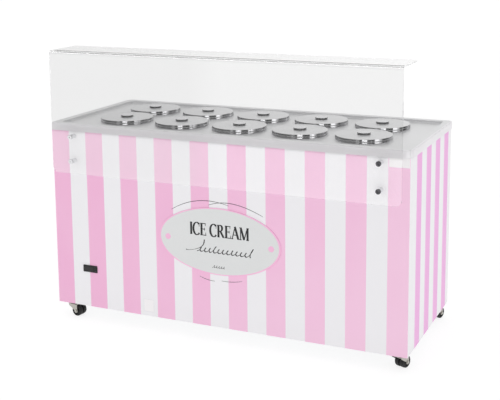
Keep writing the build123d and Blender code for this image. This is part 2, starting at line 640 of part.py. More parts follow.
def caster_wheel(x, y, angle):
    """Wide black wheel with two crowned treads, a groove between them and dished hubs."""
    half = WHEEL_W / 2
    profile = [(AXLE_R + 0.06, -half - 1), (8, -half - 1), (8, -half + 3), (17, -half + 3),
               (18, -half), (WHEEL_R - 2.5, -half), (WHEEL_R - 0.8, -half + 1.5),
               (WHEEL_R, -half + 5), (WHEEL_R, -5), (WHEEL_R - 1, -3.2), (WHEEL_R - 6, -3)]
    profile += [(radius, -h) for radius, h in reversed(profile)]
    wheel = Rot(90, 0, 0) * turned(profile)
    return Pos(x, y, 0) * Rot(0, 0, angle) * Pos(TRAIL, 0, WHEEL_R) * wheel


# ---------------------------------------------------------------- fasteners
def fasteners():
    """Cover screws, stand-off nuts, and the caster bolts with their nuts."""
    pieces = []
    for x, z in cover_screws():
        screw = rod_y(x, z, REAR_Y - 10, REAR_Y, 2.5) + rod_y(x, z, REAR_Y, REAR_Y + 2.4, 5)
        pieces.append(fillet(screw.edges().group_by(Axis.Y)[-1], 1.5))
    for x in (-STUD_X, STUD_X):
        for z in STUD_ZS:
            nut = Rot(90, 0, 0) * extrude(RegularPolygon(7.5, 6) - Circle(4), 6)
            pieces.append(Pos(x, FRONT_Y + SKIN + 6, z) * nut)
    head_z = RAIL_Z + RAIL_T
    plate_z = PAN_Z - PLATE_T
    for x, y in caster_bolts():
        bolt = rod(x, y, plate_z - 5, head_z, 3) + Pos(x, y, head_z) * extrude(RegularPolygon(5.8, 6), 4)
        nut = Pos(x, y, plate_z - 4.5) * extrude(RegularPolygon(5.8, 6), 4.5)
        pieces.append(bolt + nut)
    return pieces


# ---------------------------------------------------------------- all nodes
def nodes():
    """Every node's name with its solid or solids."""
    yield "base_pan", base_pan()
    yield "base_rails", base_rails()
    yield "corner_posts", corner_posts()
    yield "front_panel", front_panel()
    yield "left_side_panel", side_panel(-1)
    yield "right_side_panel", side_panel(1)
    yield "rear_panel", rear_panel()
    yield "machine_cover", machine_cover()
    yield "worktop", worktop()
    yield "well_collars", [well_collar(x, y) for _, x, y in well_places()]
    yield "inner_tank", inner_tank()
    yield "insulation_foam", insulation_foam()
    yield "evaporator_coil", evaporator_coil()
    yield "drain_pipe", drain_pipe()
    yield "compressor", compressor()
    yield "condenser", condenser()
    yield "fan_shroud", fan_shroud()
    yield "fan_motor", fan_motor()
    yield "fan_blade", fan_blade()
    yield "refrigerant_pipes", refrigerant_pipes()
    yield "power_inlet", power_inlet()
    yield "thermostat_housing", thermostat_housing()
    yield "thermostat_display", thermostat_display()
    for name, dz in BUTTONS.items():
        yield name, thermostat_button(dz)
    yield "sneeze_guard", sneeze_guard()
    yield "standoff_spacers", standoff_spacers()
    yield "standoff_caps", standoff_caps()
    yield "oval_sign", oval_sign()
    yield "caster_plates", [caster_plate(x, y) for _, x, y, _ in caster_places()]
    yield "fasteners", fasteners()
    for name, x, y, angle in caster_places():
        yield f"caster_fork_{name}", caster_fork(x, y, angle)
        yield f"caster_wheel_{name}", caster_wheel(x, y, angle)
    for name, x, y in well_places():
        yield f"tub_{name}", tub(x, y)
        yield f"lid_{name}", lid(x, y)


os.makedirs("parts", exist_ok=True)
for node, shape in nodes():
    solids = shape if isinstance(shape, list) else [shape]
    solids = [s for item in solids for s in item.solids()]
    whole = solids[0] if len(solids) == 1 else Compound(children=solids)
    export_step(whole, f"parts/{node}.step")
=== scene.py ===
import math

import bpy
import numpy as np
from mathutils import Matrix, Vector


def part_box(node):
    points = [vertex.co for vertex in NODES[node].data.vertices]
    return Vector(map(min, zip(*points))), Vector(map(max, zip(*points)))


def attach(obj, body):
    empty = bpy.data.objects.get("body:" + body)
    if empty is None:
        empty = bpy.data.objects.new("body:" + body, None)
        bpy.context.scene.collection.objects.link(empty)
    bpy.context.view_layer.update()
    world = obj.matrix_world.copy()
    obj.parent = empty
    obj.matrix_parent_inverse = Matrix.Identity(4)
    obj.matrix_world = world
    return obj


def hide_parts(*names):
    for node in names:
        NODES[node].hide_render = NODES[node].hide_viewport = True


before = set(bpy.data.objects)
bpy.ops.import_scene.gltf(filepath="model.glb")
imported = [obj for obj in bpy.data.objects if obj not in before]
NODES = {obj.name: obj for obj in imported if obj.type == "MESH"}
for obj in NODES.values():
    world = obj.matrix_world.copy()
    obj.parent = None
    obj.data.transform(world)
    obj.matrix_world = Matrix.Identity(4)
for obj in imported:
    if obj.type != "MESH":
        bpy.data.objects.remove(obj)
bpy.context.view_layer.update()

MM = 0.001

# ---------------------------------------------------------------- places read from the frame
PANEL_LOW, PANEL_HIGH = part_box("front_panel")
FACE_Y = PANEL_LOW.y
BODY_W = PANEL_HIGH.x - PANEL_LOW.x
REAR_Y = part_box("rear_panel")[1].y
BODY_D = REAR_Y - FACE_Y
FRONT_STRIPES = 19
SIDE_STRIPES = 9
SIDE_START = 0.026        # the corner's white stripe is this much wider than the rest
TOP_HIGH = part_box("worktop")[1].z
PLUG_GAP = 0.005         # deck to the underside of a lid's plug
DECK_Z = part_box("lid_front_1")[0].z - PLUG_GAP
SIGN_LOW, SIGN_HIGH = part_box("oval_sign")
SIGN_X = (SIGN_LOW.x + SIGN_HIGH.x) / 2
SIGN_Z = (SIGN_LOW.z + SIGN_HIGH.z) / 2
SIGN_RX = (SIGN_HIGH.x - SIGN_LOW.x) / 2
SIGN_RZ = (SIGN_HIGH.z - SIGN_LOW.z) / 2
SIGN_FACE = SIGN_LOW.y
GUARD_LOW, GUARD_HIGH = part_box("sneeze_guard")
# the x span over which the pane's painted reflection veil fades out, and the height above which its tint is
# painted greyer
PAINTED_VEIL_FROM, PAINTED_VEIL_TO, PAINTED_VEIL_TOP = -0.12, 0.03, 0.86
WELL_NAMES = [f"{row}_{i}" for row in ("front", "rear") for i in range(1, 6)]
CASTER_NAMES = ["front_left", "front_right", "rear_left", "rear_right"]


# ---------------------------------------------------------------- node helpers
class Tree:
    """Short calls for building a node tree."""

    def __init__(self, tree):
        self.tree = tree
        self.nodes = tree.nodes
        self.links = tree.links

    def add(self, kind, **settings):
        node = self.nodes.new(kind)
        for key, value in settings.items():
            setattr(node, key, value)
        return node

    def feed(self, socket, value):
        if isinstance(value, bpy.types.NodeSocket):
            self.links.new(value, socket)
        elif value is not None:
            socket.default_value = value

    def math(self, operation, a, b=None, clamp=False):
        node = self.add("ShaderNodeMath", operation=operation, use_clamp=clamp)
        self.feed(node.inputs[0], a)
        self.feed(node.inputs[1], b)
        return node.outputs[0]

    def ramp(self, factor, low, high, start=0.0, end=1.0):
        node = self.add("ShaderNodeMapRange")
        self.feed(node.inputs["Value"], factor)
        for name, value in (("From Min", low), ("From Max", high), ("To Min", start), ("To Max", end)):
            node.inputs[name].default_value = value
        return node.outputs["Result"]

    def mix(self, factor, a, b, blend="MIX"):
        node = self.add("ShaderNodeMix", data_type="RGBA", blend_type=blend)
        self.feed(node.inputs["Factor"], factor)
        self.feed(node.inputs["A"], a)
        self.feed(node.inputs["B"], b)
        return node.outputs["Result"]

    def mix_value(self, factor, a, b):
        node = self.add("ShaderNodeMix", data_type="FLOAT")
        self.feed(node.inputs["Factor"], factor)
        self.feed(node.inputs["A"], a)
        self.feed(node.inputs["B"], b)
        return node.outputs["Result"]

    def noise(self, vector, scale, detail=3.0, roughness=0.5):
        node = self.add("ShaderNodeTexNoise")
        self.feed(node.inputs["Vector"], vector)
        self.feed(node.inputs["Scale"], scale)
        node.inputs["Detail"].default_value = detail
        node.inputs["Roughness"].default_value = roughness
        return node.outputs["Fac"]

    def stretched(self, vector, scale):
        node = self.add("ShaderNodeMapping")
        self.feed(node.inputs["Vector"], vector)
        self.feed(node.inputs["Scale"], scale)
        return node.outputs["Vector"]


def colour(red, green, blue):
    """A colour from 0 to 255 screen values, as linear light."""
    values = np.array([red, green, blue]) / 255
    linear = np.where(values <= 0.04045, values / 12.92, ((values + 0.055) / 1.055) ** 2.4)
    return (*linear.tolist(), 1.0)


def new_group(name, inputs, outputs):
    """An empty shader node group with named sockets, and its tree helper."""
    group = bpy.data.node_groups.new(name, "ShaderNodeTree")
    for label, kind, default in inputs:
        socket = group.interface.new_socket(name=label, in_out="INPUT", socket_type=kind)
        if default is not None:
            socket.default_value = default
    for label, kind in outputs:
        group.interface.new_socket(name=label, in_out="OUTPUT", socket_type=kind)
    tree = Tree(group)
    return group, tree, tree.add("NodeGroupInput"), tree.add("NodeGroupOutput")


def grain_group():
    """Long fine scratches: noise squeezed across the grain, as height and a roughness shift."""
    group, t, source, sink = new_group(
        "long_grain",
        [("Vector", "NodeSocketVector", None), ("Squeeze", "NodeSocketVector", (4, 900, 900)),
         ("Roughness", "NodeSocketFloat", 0.3), ("Spread", "NodeSocketFloat", 0.1)],
        [("Height", "NodeSocketFloat"), ("Roughness", "NodeSocketFloat"),
         ("Shade", "NodeSocketFloat")])
    vector = t.stretched(source.outputs["Vector"], source.outputs["Squeeze"])
    fine = t.noise(vector, 1.0, 4.0, 0.6)
    broad = t.noise(source.outputs["Vector"], 3.0, 2.0)
    shift = t.math("MULTIPLY", t.math("SUBTRACT", fine, 0.5), source.outputs["Spread"])
    t.feed(sink.inputs["Height"], fine)
    t.feed(sink.inputs["Roughness"], t.math("ADD", source.outputs["Roughness"], shift))
    shade = t.math("ADD", t.math("MULTIPLY", fine, 0.5), t.math("MULTIPLY", broad, 0.5))
    t.feed(sink.inputs["Shade"], shade)
    return group


def mottle_group():
    """Broad cloudiness and fine speckle for paint, plastic and vinyl."""
    group, t, source, sink = new_group(
        "mottle",
        [("Vector", "NodeSocketVector", None), ("Cloud Scale", "NodeSocketFloat", 4.0),
         ("Speckle Scale", "NodeSocketFloat", 900.0)],
        [("Cloud", "NodeSocketFloat"), ("Speckle", "NodeSocketFloat")])
    t.feed(sink.inputs["Cloud"], t.noise(source.outputs["Vector"], source.outputs["Cloud Scale"], 3.0))
    t.feed(sink.inputs["Speckle"], t.noise(source.outputs["Vector"], source.outputs["Speckle Scale"], 2.0))
    return group


def darker_low_group():
    """A mask that rises towards the floor, broken up by noise."""
    group, t, source, sink = new_group(
        "darker_low",
        [("Vector", "NodeSocketVector", None), ("Top", "NodeSocketFloat", 0.2)],
        [("Mask", "NodeSocketFloat")])
    split = t.add("ShaderNodeSeparateXYZ")
    t.feed(split.inputs[0], source.outputs["Vector"])
    low = t.math("SUBTRACT", 1.0, t.math("DIVIDE", split.outputs["Z"], source.outputs["Top"]), clamp=True)
    patches = t.noise(source.outputs["Vector"], 14.0, 4.0)
    t.feed(sink.inputs["Mask"], t.math("MULTIPLY", low, patches, clamp=True))
    return group


GRAIN = grain_group()
MOTTLE = mottle_group()
DARKER_LOW = darker_low_group()


def material(name):
    """A new material, its tree helper, its Principled shader and its Object coordinates."""
    made = bpy.data.materials.new(name)
    made.use_nodes = True
    tree = Tree(made.node_tree)
    shader = made.node_tree.nodes["Principled BSDF"]
    place = tree.add("ShaderNodeTexCoord")
    return made, tree, shader, place.outputs["Object"]


def use(tree, group, **values):
    """An instance of a node group with its inputs fed; underscores stand for spaces."""
    node = tree.add("ShaderNodeGroup", node_tree=group)
    for key, value in values.items():
        tree.feed(node.inputs[key.replace("_", " ")], value)
    return node.outputs


def bump(tree, shader, height, strength, distance):
    node = tree.add("ShaderNodeBump")
    node.inputs["Strength"].default_value = strength
    node.inputs["Distance"].default_value = distance
    tree.feed(node.inputs["Height"], height)
    tree.feed(shader.inputs["Normal"], node.outputs["Normal"])


def set_up(shader, **values):
    for key, value in values.items():
        shader.inputs[key.replace("_", " ")].default_value = value


# ---------------------------------------------------------------- materials
PINK = colour(249, 187, 223)
# the front pink painted paler: a painted highlight for the brighter light on the panel's right
PINK_PAINTED_LIT = colour(254, 210, 236)
# the front's vinyl pink painted deeper for the side faces: painted shade for how the light falls on them
PINK_SIDE_SHADED = colour(245, 166, 230)
WHITE_VINYL = colour(248, 247, 250)
ROSE = (colour(252, 188, 224), colour(254, 198, 230))
SIGN_RIM = 0.945         # squared share of the sign's radii where its rim begins


def striped_vinyl(name, axis, start, width, count, pink_first, pinks):
    """Upright stripes printed on satin vinyl: the stripe number is the distance over the width.
    The pink is painted paler from the first of the two given pinks to the second along X: a
    painted highlight for light that falls brighter towards the right, with random cloudy tone."""
    made, t, shader, place = material(name)
    split = t.add("ShaderNodeSeparateXYZ")
    t.feed(split.inputs[0], place)
    along = t.math("DIVIDE", t.math("SUBTRACT", split.outputs[axis], start), width / count)
    along = t.math("MAXIMUM", along, 0.0)
    odd = t.math("GREATER_THAN", t.math("FLOORED_MODULO", along, 2.0), 1.0)
    pink = t.math("SUBTRACT", 1.0, odd) if pink_first else odd
    tone = use(t, MOTTLE, Vector=place, Cloud_Scale=2.2, Speckle_Scale=420.0)
    # painted highlight: the pink pales from left to right where the light is brighter; the cloud adds
    # random tone
    light_fade_and_mottle = t.math("ADD", t.ramp(split.outputs["X"], -0.9, 0.9, 0.0, 0.85),
                   t.ramp(tone["Cloud"], 0.35, 0.65, -0.12, 0.18), clamp=True)
    rose = t.mix(light_fade_and_mottle, *pinks)
    base = t.mix(pink, WHITE_VINYL, rose)
    # darker towards the bottom, in greyish brown patches
    darker_low_mask = use(t, DARKER_LOW, Vector=place, Top=0.16)
    base = t.mix(t.math("MULTIPLY", darker_low_mask["Mask"], 0.12), base, colour(205, 198, 192))
    t.feed(shader.inputs["Base Color"], base)
    t.feed(shader.inputs["Roughness"], t.ramp(tone["Speckle"], 0.3, 0.7, 0.30, 0.42))
    set_up(shader, Coat_Weight=0.15, Coat_Roughness=0.12)
    bump(t, shader, tone["Cloud"], 0.05, 0.002)
    return made


def painted(name, tone_a, tone_b, rough, peel=0.08, scale=600.0, metal=0.0, coat=0.0):
    """Paint or moulded plastic: two close tones, and an orange-peel bump."""
    made, t, shader, place = material(name)
    tone = use(t, MOTTLE, Vector=place, Cloud_Scale=6.0, Speckle_Scale=scale)
    t.feed(shader.inputs["Base Color"], t.mix(tone["Cloud"], tone_a, tone_b))
    t.feed(shader.inputs["Roughness"], t.ramp(tone["Speckle"], 0.2, 0.8, rough - 0.06, rough + 0.06))
    set_up(shader, Metallic=metal, Coat_Weight=coat, Coat_Roughness=0.1)
    bump(t, shader, tone["Speckle"], peel, 0.0004)
    return made


def steel(name, tone_a, tone_b, rough, squeeze, spread=0.12, depth=0.06, metal=1.0, skirt=None):
    """Brushed or satin metal with its grain along the smallest squeeze. A skirt tone, lighter than
    the rest, is a painted highlight on the faces that hang outside the front and right panels."""
    made, t, shader, place = material(name)
    grain = use(t, GRAIN, Vector=place, Squeeze=squeeze, Roughness=rough, Spread=spread)
    base = t.mix(grain["Shade"], tone_a, tone_b)
    if skirt:
        split = t.add("ShaderNodeSeparateXYZ")
        t.feed(split.inputs[0], place)
        lit_skirt_faces = t.math("MAXIMUM", t.math("LESS_THAN", split.outputs["Y"], FACE_Y),
                       t.math("GREATER_THAN", split.outputs["X"], PANEL_HIGH.x))
        # painted highlight: the hanging faces take the lighter skirt tones
        base = t.mix(lit_skirt_faces, base, t.mix(grain["Shade"], *skirt))
        upright = t.math("MULTIPLY", t.math("GREATER_THAN", split.outputs["Z"], DECK_Z + 1 * MM),
                         t.math("LESS_THAN", split.outputs["Z"], TOP_HIGH - 2 * MM))
        t.feed(shader.inputs["Metallic"], t.ramp(upright, 0.0, 1.0, metal, 0.1))
    else:
        set_up(shader, Metallic=metal)
    t.feed(shader.inputs["Base Color"], base)
    t.feed(shader.inputs["Roughness"], grain["Roughness"])
    bump(t, shader, grain["Height"], depth, 0.0002)
    return made


def turned_steel(name, tone_a, tone_b, rough, rings, spread=0.1, depth=0.05):
    """Metal finished on a lathe: fine rings that follow the profile's length, from the UV map."""
    made, t, shader, _ = material(name)
    uv = t.add("ShaderNodeUVMap", uv_map="turned")
    grain = use(t, GRAIN, Vector=uv.outputs["UV"], Squeeze=(3.0, rings, 1.0), Roughness=rough,
                Spread=spread)
    t.feed(shader.inputs["Base Color"], t.mix(grain["Shade"], tone_a, tone_b))
    t.feed(shader.inputs["Roughness"], grain["Roughness"])
    set_up(shader, Metallic=1.0)
    bump(t, shader, grain["Height"], depth, 0.0002)
    return made


def grey(level):
    """A grey given as linear light."""
    return (level, level, level, 1.0)


# clear right half first, left half second: its darker tint and stronger emission paint a reflection veil
PANE_PAINTED_TINTS_LOW = (grey(0.99), grey(0.77))
PANE_PAINTED_TINTS_HIGH = (grey(0.87), grey(0.83))
PANE_PAINTED_GLOWS = (grey(0.03), grey(0.10))


def clear_sheet():
    """Clear cast sheet with soft wipe marks. Its tint is painted greyer above the worktop, painted
    shade, and low on its left half a darker tint and a faint emission paint a pale reflection
    veil. Light passes straight through it, so it casts next to no shadow, and its cut edges and
    its bend are polished clear."""
    made, t, shader, place = material("clear_sheet")
    tone = use(t, MOTTLE, Vector=place, Cloud_Scale=3.0, Speckle_Scale=160.0)
    split = t.add("ShaderNodeSeparateXYZ")
    t.feed(split.inputs[0], place)
    x, y, z = split.outputs["X"], split.outputs["Y"], split.outputs["Z"]
    # painted reflection veil on the left half, painted shade above the worktop, both carried by tint and
    # emission
    left = t.ramp(x, PAINTED_VEIL_FROM, PAINTED_VEIL_TO, 1.0, 0.0)
    above = t.ramp(z, PAINTED_VEIL_TOP - 10 * MM, PAINTED_VEIL_TOP)
    low = t.mix(left, *PANE_PAINTED_TINTS_LOW)
    high = t.mix(left, *PANE_PAINTED_TINTS_HIGH)
    tint = t.mix(t.ramp(tone["Cloud"], 0.3, 0.7, 0.0, 0.02), t.mix(above, low, high), (1, 1, 1, 1))
    # painted light: the emission stands for a reflection veil; the pane is no lamp
    painted_glow = t.mix(left, *PANE_PAINTED_GLOWS)
    t.feed(shader.inputs["Base Color"], tint)
    t.feed(shader.inputs["Emission Color"], t.mix(above, painted_glow, (0, 0, 0, 1)))
    t.feed(shader.inputs["Roughness"], t.ramp(tone["Cloud"], 0.3, 0.8, 0.0, 0.01))
    edge = t.math("MAXIMUM", t.math("GREATER_THAN", t.math("ABSOLUTE", x), GUARD_HIGH.x - 0.5 * MM),
                  t.math("GREATER_THAN", y, GUARD_HIGH.y - 0.5 * MM))
    bend = t.math("MULTIPLY", t.math("GREATER_THAN", z, GUARD_HIGH.z - 11 * MM),
                  t.math("LESS_THAN", y, GUARD_LOW.y + 11 * MM))
    polished = t.math("MAXIMUM", edge, bend)
    rays = t.add("ShaderNodeLightPath")
    lit = t.math("MAXIMUM", rays.outputs["Is Shadow Ray"], rays.outputs["Is Diffuse Ray"])
    seen = t.math("SUBTRACT", 1.0, t.math("MULTIPLY", lit, 0.97))
    t.feed(shader.inputs["Alpha"], t.math("MULTIPLY", seen, t.ramp(polished, 0.0, 1.0, 1.0, 0.25)))
    set_up(shader, Transmission_Weight=1.0, IOR=1.49, Emission_Strength=1.0)
    return made


def cap_chrome():
    """Polished caps with painted reflections: the left pair is painted bright as if catching the
    light, the right pair painted dark as if mirroring dark, with cloudy painted highlights.
    """
    made, t, shader, place = material("cap_chrome")
    tone = use(t, MOTTLE, Vector=place, Cloud_Scale=60.0, Speckle_Scale=800.0)
    split = t.add("ShaderNodeSeparateXYZ")
    t.feed(split.inputs[0], place)
    # painted reflection: bright tones for the left caps, dark tones with cloudy painted highlight patches
    # for the right
    bright = t.mix(tone["Cloud"], colour(214, 214, 216), colour(236, 236, 238))
    dark = t.mix(tone["Cloud"], colour(40, 40, 44), colour(120, 120, 124))
    t.feed(shader.inputs["Base Color"], t.mix(t.ramp(split.outputs["X"], -0.2, 0.2), bright, dark))
    t.feed(shader.inputs["Roughness"], t.ramp(tone["Speckle"], 0.2, 0.8, 0.08, 0.16))
    set_up(shader, Metallic=1.0)
    return made


def sign_face():
    """Pale printed plate with a pink rim: pink where the ellipse ((x - cx) / rx)^2 +
    ((z - cz) / rz)^2 passes the border's inner line."""
    made, t, shader, place = material("sign_face")
    tone = use(t, MOTTLE, Vector=place, Cloud_Scale=6.0, Speckle_Scale=600.0)
    split = t.add("ShaderNodeSeparateXYZ")
    t.feed(split.inputs[0], place)
    across = t.math("DIVIDE", t.math("SUBTRACT", split.outputs["X"], SIGN_X), SIGN_RX)
    up = t.math("DIVIDE", t.math("SUBTRACT", split.outputs["Z"], SIGN_Z), SIGN_RZ)
    out = t.math("ADD", t.math("MULTIPLY", across, across), t.math("MULTIPLY", up, up))
    rim = t.math("GREATER_THAN", out, SIGN_RIM)
    base = t.mix(tone["Cloud"], colour(227, 229, 229), colour(232, 233, 233))
    t.feed(shader.inputs["Base Color"], t.mix(rim, base, t.mix(tone["Cloud"], *ROSE)))
    t.feed(shader.inputs["Roughness"], t.ramp(tone["Speckle"], 0.2, 0.8, 0.24, 0.36))
    set_up(shader, Coat_Weight=0.1, Coat_Roughness=0.1)
    bump(t, shader, tone["Speckle"], 0.03, 0.0004)
    return made


STRIPES_FRONT = striped_vinyl("stripes_front", "X", PANEL_LOW.x, BODY_W, FRONT_STRIPES, True,
                              (PINK, PINK_PAINTED_LIT))
STRIPES_SIDE = striped_vinyl("stripes_side", "Y", FACE_Y + SIDE_START, BODY_D, SIDE_STRIPES, False,
                             (PINK_SIDE_SHADED, PINK_SIDE_SHADED))
WHITE_PAINT = painted("white_paint", colour(238, 238, 240), colour(244, 244, 246), 0.38)
# the skirt tones are this steel painted lighter on its hanging faces: a painted highlight
DECK_STEEL = steel("deck_steel", colour(209, 209, 210), colour(234, 234, 235), 0.38,
                   (5, 700, 700), metal=0.6, skirt=(colour(226, 224, 227), colour(248, 246, 249)))
TUB_STEEL = steel("tub_steel", colour(200, 200, 202), colour(228, 228, 229), 0.26, (60, 60, 500))
ZINC = painted("zinc_plate", colour(172, 170, 162), colour(198, 196, 190), 0.34, metal=1.0)
GALVANISED = painted("galvanised", colour(176, 180, 184), colour(206, 209, 212), 0.42, 0.1, 60.0, 1.0)
LID_STEEL = turned_steel("lid_steel", colour(198, 198, 199), colour(217, 217, 218), 0.30, 2600.0)
BRIGHT_STEEL = turned_steel("bright_steel", colour(168, 168, 170), colour(190, 190, 192), 0.06,
                            5200.0, 0.03, 0.02)
KNOB_STEEL = turned_steel("knob_steel", colour(200, 200, 202), colour(220, 220, 222), 0.25, 3800.0)
# the knob's side wall as a dark copy of the knob steel: a painted dark reflection
KNOB_SIDE_PAINTED_DARK = turned_steel("knob_side_painted_dark", colour(58, 58, 60), colour(112, 112, 114), 0.16, 900.0, 0.08, 0.1)
CLEAR = clear_sheet()
STAND_CHROME = painted("stand_chrome", colour(222, 222, 225), colour(238, 238, 240), 0.12, 0.02,
                       metal=1.0)
CAP_CHROME = cap_chrome()
SIGN_FACE_MATERIAL = sign_face()
SIGN_PINK = painted("sign_pink", *ROSE, 0.32, 0.03)
INK = painted("sign_ink", colour(16, 16, 20), colour(26, 26, 30), 0.4, 0.03)
LABEL = painted("blank_label", colour(252, 249, 251), colour(254, 252, 253), 0.4, 0.02)
LABEL_EDGE = painted("label_edge", colour(222, 222, 226), colour(228, 228, 232), 0.4, 0.02)
BLACK_PLASTIC = painted("black_plastic", colour(8, 8, 9), colour(16, 16, 18), 0.5, 0.12, 900.0)
DISPLAY = painted("display_window", colour(22, 20, 22), colour(34, 30, 32), 0.3, 0.01)
BUTTON = painted("button_plastic", colour(40, 41, 44), colour(58, 59, 63), 0.45)
RUBBER = painted("black_rubber", colour(10, 10, 11), colour(20, 20, 21), 0.6, 0.25, 700.0)
FOAM = painted("foam", colour(232, 220, 170), colour(244, 236, 196), 0.8, 0.4, 300.0)
COPPER = painted("copper", colour(196, 120, 84), colour(222, 150, 112), 0.28, 0.04, metal=1.0)
BLACK_PAINT = painted("black_paint", colour(20, 20, 20), colour(34, 34, 34), 0.35, 0.1)
MOTOR_PAINT = painted("motor_paint", colour(56, 58, 62), colour(76, 78, 82), 0.4, 0.1)
FIN_METAL = painted("fin_metal", colour(200, 202, 205), colour(220, 222, 225), 0.3, 0.05, metal=1.0)
PIPE_PLASTIC = painted("pipe_plastic", colour(206, 206, 206), colour(220, 220, 220), 0.4)

FINISH = {
    "front_panel": STRIPES_FRONT, "left_side_panel": STRIPES_SIDE, "right_side_panel": STRIPES_SIDE,
    "rear_panel": WHITE_PAINT, "machine_cover": WHITE_PAINT, "worktop": DECK_STEEL,
    "inner_tank": TUB_STEEL, "base_pan": GALVANISED, "base_rails": GALVANISED,
    "corner_posts": GALVANISED, "fan_shroud": GALVANISED, "insulation_foam": FOAM,
    "evaporator_coil": COPPER, "refrigerant_pipes": COPPER, "compressor": BLACK_PAINT,
    "fan_motor": MOTOR_PAINT, "condenser": FIN_METAL, "fan_blade": BLACK_PLASTIC,
    "power_inlet": BLACK_PLASTIC, "thermostat_housing": BLACK_PLASTIC,
    "thermostat_display": DISPLAY, "thermostat_button_up": BUTTON, "thermostat_button_set": BUTTON,
    "thermostat_button_down": BUTTON, "drain_pipe": PIPE_PLASTIC, "sneeze_guard": CLEAR,
    "standoff_spacers": STAND_CHROME, "standoff_caps": CAP_CHROME,
    "oval_sign": SIGN_FACE_MATERIAL, "caster_plates": ZINC, "fasteners": ZINC,
    "well_collars": BRIGHT_STEEL,
}
for well in WELL_NAMES:
    FINISH[f"tub_{well}"] = TUB_STEEL
    FINISH[f"lid_{well}"] = LID_STEEL
for corner in CASTER_NAMES:
    FINISH[f"caster_fork_{corner}"] = ZINC
    FINISH[f"caster_wheel_{corner}"] = RUBBER
for node_name, finish in FINISH.items():
    NODES[node_name].data.materials.clear()
    NODES[node_name].data.materials.append(finish)


# ---------------------------------------------------------------- surfaces
def surface(name, points, finish, wrap_u=False, wrap_v=False, uv=None):
    """A mesh through a grid of points (rows u, columns v), closed round u or v where it wraps."""
    rows, columns, _ = points.shape
    u = np.arange(rows if wrap_u else rows - 1)[:, None]
    v = np.arange(columns if wrap_v else columns - 1)[None, :]
    u_next, v_next = (u + 1) % rows, (v + 1) % columns
    quads = np.stack([u * columns + v, u_next * columns + v,
                      u_next * columns + v_next, u * columns + v_next], -1).reshape(-1, 4)
    mesh = bpy.data.meshes.new(name)
    mesh.from_pydata(points.reshape(-1, 3).tolist(), [], quads.tolist())
    if uv is not None:
        corners = np.array([(0, 0), (1, 0), (1, 1), (0, 1)])
        cell = np.stack(np.broadcast_arrays(u, v), -1).reshape(-1, 1, 2)
        index = (cell + corners[None]).reshape(-1, 2)
        layer = mesh.uv_layers.new(name="turned")
        values = uv(index[:, 0], index[:, 1]).astype(np.float32)
        layer.data.foreach_set("uv", values.ravel())
    mesh.materials.append(finish)
    mesh.polygons.foreach_set("use_smooth", np.ones(len(mesh.polygons), bool))
    mesh.update()
    piece = bpy.data.objects.new(name, mesh)
    bpy.context.scene.collection.objects.link(piece)
    return piece


def rounded(points, radii, steps=5):
    """A closed or open outline's corners as arcs: each corner is the quadratic curve between the
    points that lie its radius before and after it."""
    points = np.array(points, float)
    out = [points[0]]
    for before, corner, after, radius in zip(points[:-2], points[1:-1], points[2:], radii):
        if radius <= 0:
            out.append(corner)
            continue
        a = corner + (before - corner) / np.linalg.norm(before - corner) * radius
        b = corner + (after - corner) / np.linalg.norm(after - corner) * radius
        for s in np.linspace(0, 1, steps):
            out.append((1 - s) ** 2 * a + 2 * s * (1 - s) * corner + s ** 2 * b)
    out.append(points[-1])
    return np.array(out)


def lathe(name, profile, centre, finish, segments=96):
    """A profile of (radius, height) turned about the upright axis through centre:
    point = centre + (r cos a, r sin a, z)."""
    angle = np.linspace(0, 2 * np.pi, segments, endpoint=False)[:, None]
    radius, height = profile[:, 0][None], profile[:, 1][None]
    points = np.stack([centre[0] + radius * np.cos(angle), centre[1] + radius * np.sin(angle),
                       height + 0 * angle], -1)
    length = np.concatenate([[0], np.cumsum(np.linalg.norm(np.diff(profile, axis=0), axis=1))])
    return surface(name, points, finish, wrap_u=True,
                   uv=lambda i, j: np.stack([i / segments, length[np.minimum(j, len(length) - 1)]], -1))


def ride(piece, body):
    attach(piece, body)
    return piece


# ---------------------------------------------------------------- lids and collars
CROWN_H, LID_H, KNOB_R = 0.0075, 0.0105, 0.0275
SEAT_H, NECK_R, NECK_DEPTH = 0.0048, 0.1025, 0.018
PLUG_R, DOME_R, DOME_H = 0.092, 0.044, 0.001
KNOB_FOOT_R = 0.022


